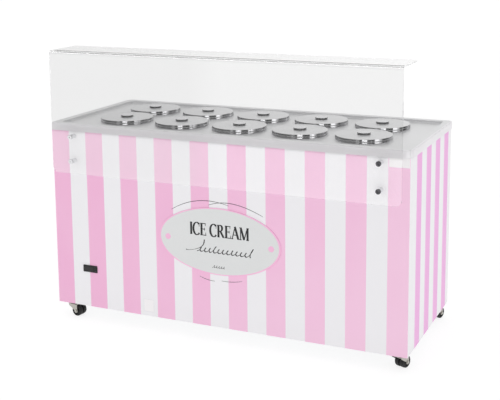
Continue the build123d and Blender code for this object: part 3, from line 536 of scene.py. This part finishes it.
def make_lid(well):
    """Cap with a rolled lower bead, a skirt that leans in, a dome under the knob and a flat plug
    below that finds the tub."""
    low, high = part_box(f"lid_{well}")
    centre = ((low.x + high.x) / 2, (low.y + high.y) / 2)
    r, foot = (high.x - low.x) / 2, DECK_Z + CROWN_H + 0.2 * MM
    top = DECK_Z + CROWN_H + LID_H
    outer = rounded([(0.0, low.z), (PLUG_R, low.z), (PLUG_R, foot), (r, foot), (r, foot + 2.0 * MM),
                     (r - 0.4 * MM, foot + 2.4 * MM), (r - 1.3 * MM, top), (DOME_R, top),
                     (DOME_R - 1.5 * MM, top + DOME_H), (0.0, top + DOME_H)],
                    [0.8 * MM, 0.3 * MM, 0.9 * MM, 0.5 * MM, 0.3 * MM, 0.7 * MM, 0.6 * MM, 0.6 * MM])
    cap = lathe(f"lid_cap_{well}", outer, centre, LID_STEEL, 128)
    cap.data.materials.append(BRIGHT_STEEL)
    bright = np.array([p.center.z < top - 0.8 * MM for p in cap.data.polygons])
    cap.data.polygons.foreach_set("material_index", bright.astype(np.int32))
    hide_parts(f"lid_{well}")
    ride(cap, f"lid_{well}")
    foot = top + DOME_H
    knob = rounded([(KNOB_FOOT_R - 4 * MM, foot - 0.4 * MM), (KNOB_FOOT_R, foot - 0.4 * MM),
                    (KNOB_FOOT_R, foot + 1.2 * MM),
                    (KNOB_R - 1 * MM, foot + 1.4 * MM), (KNOB_R, foot + 2.4 * MM),
                    (KNOB_R, high.z - 1.2 * MM), (KNOB_R - 2 * MM, high.z), (0.002, high.z),
                    (0.0, high.z)],
                   [0.3 * MM, 0.3 * MM, 0.4 * MM, 0.6 * MM, 0.8 * MM, 1.2 * MM, 0])
    grip = lathe(f"lid_knob_{well}", knob, centre, KNOB_STEEL, 72)
    grip.data.materials.append(KNOB_SIDE_PAINTED_DARK)
    # the side wall and underside take the dark copy: a painted dark reflection
    wall = np.array([p.center.z < high.z - 1.0 * MM for p in grip.data.polygons])
    grip.data.polygons.foreach_set("material_index", wall.astype(np.int32))
    ride(grip, f"lid_{well}")


def make_collar(well):
    """Ring on the deck: leaning outer wall, rounded crown, seat for the tub's rim, and neck."""
    low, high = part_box(f"lid_{well}")
    centre = ((low.x + high.x) / 2, (low.y + high.y) / 2)
    r, crown = (high.x - low.x) / 2, DECK_Z + CROWN_H
    seat, neck, bottom = DECK_Z + SEAT_H, NECK_R, DECK_Z - NECK_DEPTH
    outline = [(neck, bottom), (neck + 1.2 * MM, bottom),
               (neck + 1.2 * MM, DECK_Z), (r, DECK_Z), (r, DECK_Z + 1.4 * MM),
               (r - 1.2 * MM, crown), (0.1088, crown), (0.1082, seat), (neck, seat),
               (neck, bottom)]
    radii = [0, 0.2 * MM, 0.3 * MM, 0.5 * MM, 1.4 * MM, 0.5 * MM, 0.4 * MM, 1.0 * MM]
    ring = lathe(f"collar_{well}", rounded(outline, radii), centre, BRIGHT_STEEL, 128)
    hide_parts("well_collars")
    ride(ring, "cabinet")


for well in WELL_NAMES:
    make_lid(well)
    make_collar(well)


# ---------------------------------------------------------------- printed marks
def strokes(name, paths, level, finish):
    """Flat pen strokes on an upright face at y = level: each stroke's two edges are its path
    (x, z) plus and minus half its width along the path's normal. Later strokes lie a hair prouder."""
    points, quads = [], []
    for n, (path, width) in enumerate(paths):
        path = np.array(path, float)
        ahead = np.gradient(path, axis=0)
        ahead /= np.maximum(np.linalg.norm(ahead, axis=1, keepdims=True), 1e-9)
        half = np.broadcast_to(width, len(path))[:, None] / 2
        aside = np.stack([-ahead[:, 1], ahead[:, 0]], -1) * half
        left, right = path + aside, path - aside
        start, count, y = len(points), len(path), level - n * 2e-6
        points += [(x, y, z) for x, z in np.concatenate([left, right])]
        quads += [(start + i, start + count + i, start + count + i + 1, start + i + 1)
                  for i in range(count - 1)]
    mesh = bpy.data.meshes.new(name)
    mesh.from_pydata(points, [], quads)
    mesh.materials.append(finish)
    mesh.update()
    piece = bpy.data.objects.new(name, mesh)
    bpy.context.scene.collection.objects.link(piece)
    return ride(piece, "cabinet")


def nib(path, thin, thick, angle=0.0):
    """A broad pen's width along a path: thin + (thick - thin) |sin(heading - angle)|^1.3."""
    ahead = np.gradient(np.array(path, float), axis=0)
    heading = np.arctan2(ahead[:, 1], ahead[:, 0])
    return thin + (thick - thin) * np.abs(np.sin(heading - angle)) ** 1.3


def ellipse(cx, cz, rx, rz, start, end, steps=28):
    """Part of an ellipse from start to end degrees: (cx + rx cos a, cz + rz sin a)."""
    a = np.radians(np.linspace(start, end, steps))
    return np.stack([cx + rx * np.cos(a), cz + rz * np.sin(a)], -1)


def disc(name, centre, radius, level, finish, steps=96):
    """A flat round spot on an upright face at y = level."""
    angle = np.linspace(0, 2 * np.pi, steps, endpoint=False)[:, None]
    reach = radius * np.array([[0.0, 1.0]])
    points = np.stack([centre[0] + reach * np.cos(angle), level + 0 * angle * reach,
                       centre[1] + reach * np.sin(angle)], -1)
    return ride(surface(name, points[:, ::-1], finish, wrap_u=True), "cabinet")


def plate(name, low, high, level, finish):
    """A flat rectangle on an upright face at y = level."""
    corners = np.array([[(low[0], level, low[1]), (high[0], level, low[1])],
                        [(low[0], level, high[1]), (high[0], level, high[1])]])
    return ride(surface(name, corners.swapaxes(0, 1), finish), "cabinet")


STEM, HAIR = 0.175, 0.065


def capital(kind):
    """A serif capital one unit tall: its strokes (path, width, or None for a nib), and its advance."""
    def stem(x, width=STEM):
        return [(x, 0), (x, 1)], width

    def serif(x, z, half=0.13):
        return [(x - half, z), (x + half, z)], HAIR

    def flick(x, z0, z1):
        return [(x, z0), (x + 0.01, z1)], np.array([0.03, 0.075])

    bottom, top = HAIR / 2, 1 - HAIR / 2
    if kind == "I":
        return [stem(0.17), serif(0.17, bottom), serif(0.17, top)], 0.36
    if kind == "E":
        return [stem(0.17), serif(0.12, bottom, 0.10), serif(0.12, top, 0.10),
                ([(0.17, top), (0.62, top)], HAIR), ([(0.17, 0.52), (0.50, 0.52)], HAIR),
                ([(0.17, bottom), (0.66, bottom)], HAIR), flick(0.50, 0.40, 0.52),
                flick(0.50, 0.64, 0.52), flick(0.60, 0.76, 1.0), flick(0.65, 0.26, 0.0)], 0.74
    if kind == "C":
        return [(ellipse(0.46, 0.5, 0.39, 0.5, 48, 318), None), flick(0.74, 0.66, 0.98)], 0.84
    if kind == "R":
        bowl = np.concatenate([[(0.17, top)], ellipse(0.36, 0.745, 0.23, 0.23, 90, -90), [(0.17, 0.515)]])
        return [stem(0.17), serif(0.17, bottom), serif(0.12, top, 0.10), (bowl, None),
                ([(0.38, 0.52), (0.74, 0.02)], STEM * 0.95), serif(0.78, bottom, 0.09)], 0.88
    if kind == "A":
        return [([(0.10, 0.02), (0.43, 1.0)], HAIR * 1.2), ([(0.41, 1.0), (0.78, 0.02)], STEM),
                ([(0.21, 0.34), (0.65, 0.34)], HAIR), serif(0.10, bottom, 0.11),
                serif(0.79, bottom, 0.13)], 0.90
    if kind == "M":
        return [stem(0.14, HAIR * 1.2), ([(0.16, 1), (0.53, 0.03)], STEM * 0.95),
                ([(0.53, 0.03), (0.90, 1)], HAIR * 1.2), stem(0.92), serif(0.14, bottom, 0.11),
                serif(0.10, top, 0.09), serif(0.92, bottom, 0.14), serif(0.97, top, 0.10)], 1.08
    return [], 0.36


def title(words, low, high, level, finish):
    """Capitals set side by side and squeezed to fill the box from low to high (x, z)."""
    tall = high[1] - low[1]
    letters = [capital(kind) for kind in words]
    squeeze = (high[0] - low[0]) / (sum(advance for _, advance in letters) * tall)
    paths, x = [], 0.0
    for marks, advance in letters:
        for path, width in marks:
            path = (np.array(path, float) + (x, 0)) * (squeeze, 1) * tall + low
            width = nib(path, HAIR * tall, STEM * tall, 0.15) if width is None else width * tall
            paths.append((path, width))
        x += advance
    return strokes("sign_title", paths, level, finish)


def scroll(start, length, loops, rise, tall, thin, thick, lean=0.6):
    """A wordless line of slanted pen loops: x = start + length t + swing sin a + lean z and
    z = rise (1 - cos a) / 2, with a = 2 pi loops t, and taller loops where tall says."""
    t = np.linspace(0, 1, loops * 26)
    a = 2 * np.pi * loops * t
    size = np.full_like(t, 1.0)
    for at, extra in tall:
        size += extra * np.exp(-((t - at) * loops / 0.42) ** 2)
    z = rise * size * (1 - np.cos(a)) / 2
    swing = 1.6 * length / (2 * np.pi * loops)
    path = np.stack([start[0] + length * t + swing * np.sin(a) + lean * z, start[1] + z], -1)
    return path, nib(path, thin, thick, 0.75)


def bow(a, b, rise, width, ease=0.0, steps=40):
    """A thin tapering line from a to b that rises along a parabola; ease slides its peak."""
    t = np.linspace(0, 1, steps)
    x = a[0] + (b[0] - a[0]) * t
    z = a[1] + (b[1] - a[1]) * t + rise * 4 * t * (1 - t) * (1 + ease * (1 - 2 * t))
    return np.stack([x, z], -1), width * (0.6 + 0.4 * np.sin(np.pi * t))


DOT_REACH, DOT_R = 0.235, 0.0125
TITLE_LOW, TITLE_HIGH = (-0.132, 0.020), (0.138, 0.073)      # from the sign's middle


def dress_sign():
    """Dots, title, scroll line and small ornament on the sign's face. The rim is in its material."""
    face = SIGN_FACE - 0.1 * MM
    for side, label in ((-1, "left"), (1, "right")):
        centre = (SIGN_X + side * DOT_REACH, SIGN_Z - 2 * MM)
        disc(f"sign_dot_{label}", centre, DOT_R, face, SIGN_PINK)
    title("ICE CREAM", (SIGN_X + TITLE_LOW[0], SIGN_Z + TITLE_LOW[1]),
          (SIGN_X + TITLE_HIGH[0], SIGN_Z + TITLE_HIGH[1]), face, INK)
    base = SIGN_Z - 0.049
    tall = ((0.27, 0.9), (0.66, 0.3), (0.965, 1.2))
    line = [scroll((SIGN_X - 0.100, base), 0.245, 12, 0.017, tall, 2.0 * MM, 5.4 * MM)]
    t = np.linspace(0, 1, 40)
    lead = np.stack([SIGN_X - 0.150 + 0.085 * t - 0.012 * np.sin(2 * np.pi * t),
                     base + 0.002 + 0.050 * t ** 2 - 0.008 * np.sin(np.pi * t)], -1)
    line.append((lead, nib(lead, 1.5 * MM, 5.0 * MM, 0.2)))
    strokes("sign_scroll", line, face, INK)
    small = scroll((SIGN_X - 0.030, SIGN_Z - 0.112), 0.056, 5, 0.008, ((0.18, 0.6),),
                   1.2 * MM, 2.8 * MM)
    strokes("sign_ornament", [small], face, INK)


TOP_LABEL = ((0.7185, 0.816), (0.7985, 0.8525))              # lower left and upper right (x, z)
LOW_LABEL = ((-0.362, 0.088), (-0.314, 0.141))


def dress_front():
    """Thin crossing bows above and below the sign, and two blank labels, on the front panel."""
    face = FACE_Y - 0.15 * MM
    above = [bow((SIGN_X - 0.218, 0.5535), (SIGN_X + 0.048, 0.594), 0.030, 2.4 * MM, 0.08),
             bow((SIGN_X - 0.046, 0.589), (SIGN_X + 0.199, 0.565), 0.0258, 2.4 * MM, 0.174)]
    below = [bow((SIGN_X - 0.090, 0.280), (SIGN_X - 0.020, 0.267), -0.004, 2.0 * MM),
             bow((SIGN_X + 0.010, 0.272), (SIGN_X + 0.104, 0.282), -0.004, 2.0 * MM)]
    strokes("panel_bows", above + below, face, INK)
    plate("blank_label_top", *TOP_LABEL, face, LABEL)
    plate("blank_label_low", *LOW_LABEL, face, LABEL)
    (left, low), (right, high) = LOW_LABEL
    edge = [([start, end], 0.8 * MM) for start, end in (
        ((left, low), (right, low)), ((left, high), (right, high)),
        ((left, low), (left, high)), ((right, low), (right, high)))]
    strokes("blank_label_edge", edge, face - 0.05 * MM, LABEL_EDGE)


dress_sign()
dress_front()

# ---------------------------------------------------------------- stage, light and camera
CAMERA_YAW, CAMERA_PITCH, CAMERA_ROLL = 0.422, 0.157, -0.009
CAMERA_PLACE = (1.7552, -3.8835, 1.673)
SENSOR, LENS, SHIFT = 36.0, 72.19, (-0.0025, -0.208)
SKY_START, DARK_HORIZON, WORLD_LIGHT = 0.35, 0.03, 0.56
# azimuth, half width, level and soft edge of each upright box
BRIGHT_BOXES = ((0.36, 0.165, 2.6, 0.03), (1.23, 0.15, 2.4, 0.03), (2.58, 0.10, 1.4, 0.03),
                (-0.14, 0.10, 0.6, 0.06), (-1.3, 0.8, 0.15, 0.2))
FADE_FROM, FADE_TO = 1.38, 1.72
BOX_TOP = 0.34
WALL_SPAN, WALL_LEVELS = (-0.58, -0.24), (0.86, 1.04)


def world_light():
    """White to the eye. Mirrors and glass meet a bright wall beyond the object and a bright sky,
    with a dark horizon, bright upright boxes and a grey one that fades to the right."""
    world = bpy.data.worlds.new("studio")
    bpy.context.scene.world = world
    world.use_nodes = True
    t = Tree(world.node_tree)
    ground = world.node_tree.nodes["Background"]
    place = t.add("ShaderNodeTexCoord")
    split = t.add("ShaderNodeSeparateXYZ")
    t.feed(split.inputs[0], place.outputs["Generated"])
    x, y, z = split.outputs["X"], split.outputs["Y"], split.outputs["Z"]
    azimuth = t.math("ARCTAN2", x, t.math("MULTIPLY", y, -1.0))
    beyond = t.math("ADD", t.math("MULTIPLY", x, -math.sin(CAMERA_YAW)),
                    t.math("MULTIPLY", y, math.cos(CAMERA_YAW)))
    wall = t.math("MULTIPLY", t.ramp(beyond, 0.15, 0.45), t.ramp(z, 0.08, 0.18))
    wall = t.math("MAXIMUM", wall, t.ramp(beyond, 0.94, 0.965))
    wall = t.math("MULTIPLY", wall, t.ramp(x, *WALL_SPAN, *WALL_LEVELS))
    level = t.math("MAXIMUM", t.ramp(z, SKY_START, SKY_START + 0.25), DARK_HORIZON)
    level = t.math("MAXIMUM", level, wall)
    below_top = t.ramp(z, BOX_TOP, BOX_TOP + 0.04, 1.0, 0.0)
    for centre, half, bright, soft in BRIGHT_BOXES:
        away = t.math("ABSOLUTE", t.math("SUBTRACT", azimuth, centre))
        box = t.math("MULTIPLY", t.ramp(away, half, half + soft, bright, 0.0), below_top)
        level = t.math("MAXIMUM", level, box)
    fade = t.math("MULTIPLY", t.math("GREATER_THAN", azimuth, FADE_FROM),
                  t.ramp(azimuth, FADE_FROM, FADE_TO, 1.6, 0.05))
    level = t.math("MAXIMUM", level, t.math("MULTIPLY", fade, below_top))
    rays = t.add("ShaderNodeLightPath")
    mirrored = t.math("MAXIMUM", rays.outputs["Is Glossy Ray"], rays.outputs["Is Transmission Ray"])
    strength = t.mix_value(mirrored, WORLD_LIGHT, level)
    strength = t.mix_value(rays.outputs["Is Camera Ray"], strength, 1.0)
    ground.inputs["Color"].default_value = (1, 1, 1, 1)
    t.feed(ground.inputs["Strength"], strength)


def soft_light(name, place, aim, size, power):
    lamp = bpy.data.lights.new(name, "AREA")
    lamp.shape, lamp.size, lamp.size_y = "RECTANGLE", size[0], size[1]
    lamp.energy = power
    holder = bpy.data.objects.new(name, lamp)
    holder.location = place
    holder.rotation_euler = (Vector(aim) - Vector(place)).to_track_quat("-Z", "Y").to_euler()
    holder.visible_glossy = False
    holder.visible_transmission = False
    bpy.context.scene.collection.objects.link(holder)


FLOOR_GLOW = 0.82


def floor():
    """A wide pale floor disc: rings of growing radius. It glows a little, so it reads white."""
    radii = np.array([0.0, 1.0, 3.0, 8.0, 20.0, 60.0])[None]
    angle = np.linspace(0, 2 * np.pi, 64, endpoint=False)[:, None]
    points = np.stack([radii * np.cos(angle), radii * np.sin(angle), 0 * radii * angle - 0.0005], -1)
    paint = painted("floor_paint", grey(0.24), grey(0.26), 0.8)
    set_up(paint.node_tree.nodes["Principled BSDF"], Emission_Color=grey(1.0), Emission_Strength=FLOOR_GLOW)
    surface("studio_floor", points, paint, wrap_u=True)


def camera():
    """Camera at the customer's side, to the right, looking slightly down."""
    yaw, pitch, roll = CAMERA_YAW, CAMERA_PITCH, CAMERA_ROLL
    ahead = Vector((-math.sin(yaw) * math.cos(pitch), math.cos(yaw) * math.cos(pitch), -math.sin(pitch)))
    right = Vector((math.cos(yaw), math.sin(yaw), 0))
    up = right.cross(ahead)
    side = right * math.cos(roll) + up * math.sin(roll)
    top = up * math.cos(roll) - right * math.sin(roll)
    eye = bpy.data.cameras.new("eye")
    eye.sensor_width, eye.lens = SENSOR, LENS
    eye.shift_x, eye.shift_y = SHIFT
    holder = bpy.data.objects.new("eye", eye)
    turn = Matrix((side, top, -ahead)).transposed().to_4x4()
    holder.matrix_world = Matrix.Translation(CAMERA_PLACE) @ turn
    bpy.context.scene.collection.objects.link(holder)
    bpy.context.scene.camera = holder


world_light()
soft_light("overhead", (0, -0.5, 3.6), (0, 0, 0.6), (4.0, 3.0), 18)
soft_light("front_fill", (-1.5, -4.5, 2.2), (0, -0.3, 0.5), (3.0, 2.5), 18)
soft_light("right_fill", (4.5, -0.5, 1.8), (0.8, 0, 0.5), (2.5, 2.5), 13.5)
floor()
camera()
bpy.context.scene.view_settings.view_transform = "Standard"
